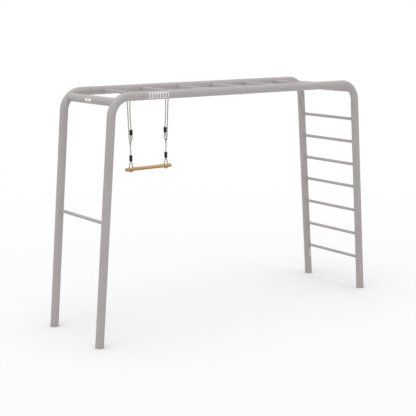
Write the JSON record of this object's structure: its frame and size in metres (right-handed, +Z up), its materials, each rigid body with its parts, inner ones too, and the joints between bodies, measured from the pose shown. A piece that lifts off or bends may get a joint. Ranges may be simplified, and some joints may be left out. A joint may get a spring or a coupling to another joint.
{
  "type": "monkey bars",
  "caption": "Free-standing garden monkey bars in bent steel tube, with overhead rungs, an end ladder, a low tumble bar and a rope-hung wooden trapeze.",
  "frame": {"origin": "on the ground, in the middle of the four feet", "axes": "+X along the rails towards the ladder end, +Y from the near side frame to the far one, +Z up"},
  "size_m": [3.3138, 0.8782, 2.1982],
  "materials": {
    "tube_paint": "satin warm grey powder coat",
    "rung_paint": "satin warm grey powder coat",
    "zinc_steel": "zinc plated",
    "foot_plastic": "matte moulded",
    "collar_plastic": "matte moulded",
    "badge_plastic": "gloss",
    "rope": "braided",
    "ferrule_plastic": "satin moulded",
    "bar_wood": "oiled, turned"
  },
  "bodies": {
    "frame": {"near_left_rail": "tube_paint", "near_right_rail": "tube_paint", "far_left_rail": "tube_paint", "far_right_rail": "tube_paint", "near_left_corner": "tube_paint", "near_right_corner": "tube_paint", "far_left_corner": "tube_paint", "far_right_corner": "tube_paint", "near_left_leg": "tube_paint", "near_right_leg": "tube_paint", "far_left_leg": "tube_paint", "far_right_leg": "tube_paint", "rail_middle_sleeves": "zinc_steel", "rail_end_sleeves": "zinc_steel", "leg_sleeves": "zinc_steel", "sleeve_screws": "zinc_steel", "left_cross_tube": "tube_paint", "right_cross_tube": "tube_paint", "cross_tube_plugs": "zinc_steel", "cross_tube_bolts": "tube_paint", "monkey_rung_1": "rung_paint", "monkey_rung_2": "rung_paint", "monkey_rung_3": "rung_paint", "monkey_rung_4": "rung_paint", "monkey_rung_5": "rung_paint", "monkey_rung_6": "rung_paint", "ladder_rung_1": "rung_paint", "ladder_rung_2": "rung_paint", "ladder_rung_3": "rung_paint", "ladder_rung_4": "rung_paint", "ladder_rung_5": "rung_paint", "ladder_rung_6": "rung_paint", "ladder_rung_7": "rung_paint", "tumble_bar": "rung_paint", "monkey_rung_collars": "collar_plastic", "ladder_rung_collars": "collar_plastic", "tumble_bar_collars": "collar_plastic", "rung_lock_screws": "zinc_steel", "near_left_foot": "foot_plastic", "near_right_foot": "foot_plastic", "far_left_foot": "foot_plastic", "far_right_foot": "foot_plastic", "badge": "badge_plastic", "left_rope_turn": "rope", "right_rope_turn": "rope"},
    "trapeze_ropes": {"left_rope_strands": "rope", "right_rope_strands": "rope", "left_upper_ferrule": "ferrule_plastic", "right_upper_ferrule": "ferrule_plastic", "left_hitch": "rope", "right_hitch": "rope"},
    "left_rope": {"left_lower_rope": "rope"},
    "right_rope": {"right_lower_rope": "rope"},
    "bar": {"left_lower_ferrule": "ferrule_plastic", "right_lower_ferrule": "ferrule_plastic", "left_bar_eye": "rope", "right_bar_eye": "rope", "trapeze_bar": "bar_wood"}
  },
  "joints": [
    {"name": "trapeze_swing", "type": "hinge", "parent": "frame", "child": "trapeze_ropes", "pos_m": [-0.84, -0.045, 2.16], "axis": [1, 0, 0], "range_deg": [-50, 50]},
    {"name": "left_rope_sway", "type": "hinge", "parent": "trapeze_ropes", "child": "left_rope", "pos_m": [-1.033, -0.045, 1.718], "axis": [0, 1, 0], "range_deg": [-20, 20]},
    {"name": "right_rope_sway", "type": "hinge", "parent": "trapeze_ropes", "child": "right_rope", "pos_m": [-0.647, -0.045, 1.718], "axis": [0, 1, 0], "range_deg": [-20, 20]},
    {"name": "bar_level", "type": "hinge", "parent": "left_rope", "child": "bar", "pos_m": [-1.033, -0.045, 1.6], "axis": [0, 1, 0], "range_deg": [-20, 20]}
  ],
  "couplings": [
    {"joint": "right_rope_sway", "follows": "left_rope_sway", "ratio": 1},
    {"joint": "bar_level", "follows": "left_rope_sway", "ratio": -1}
  ]
}
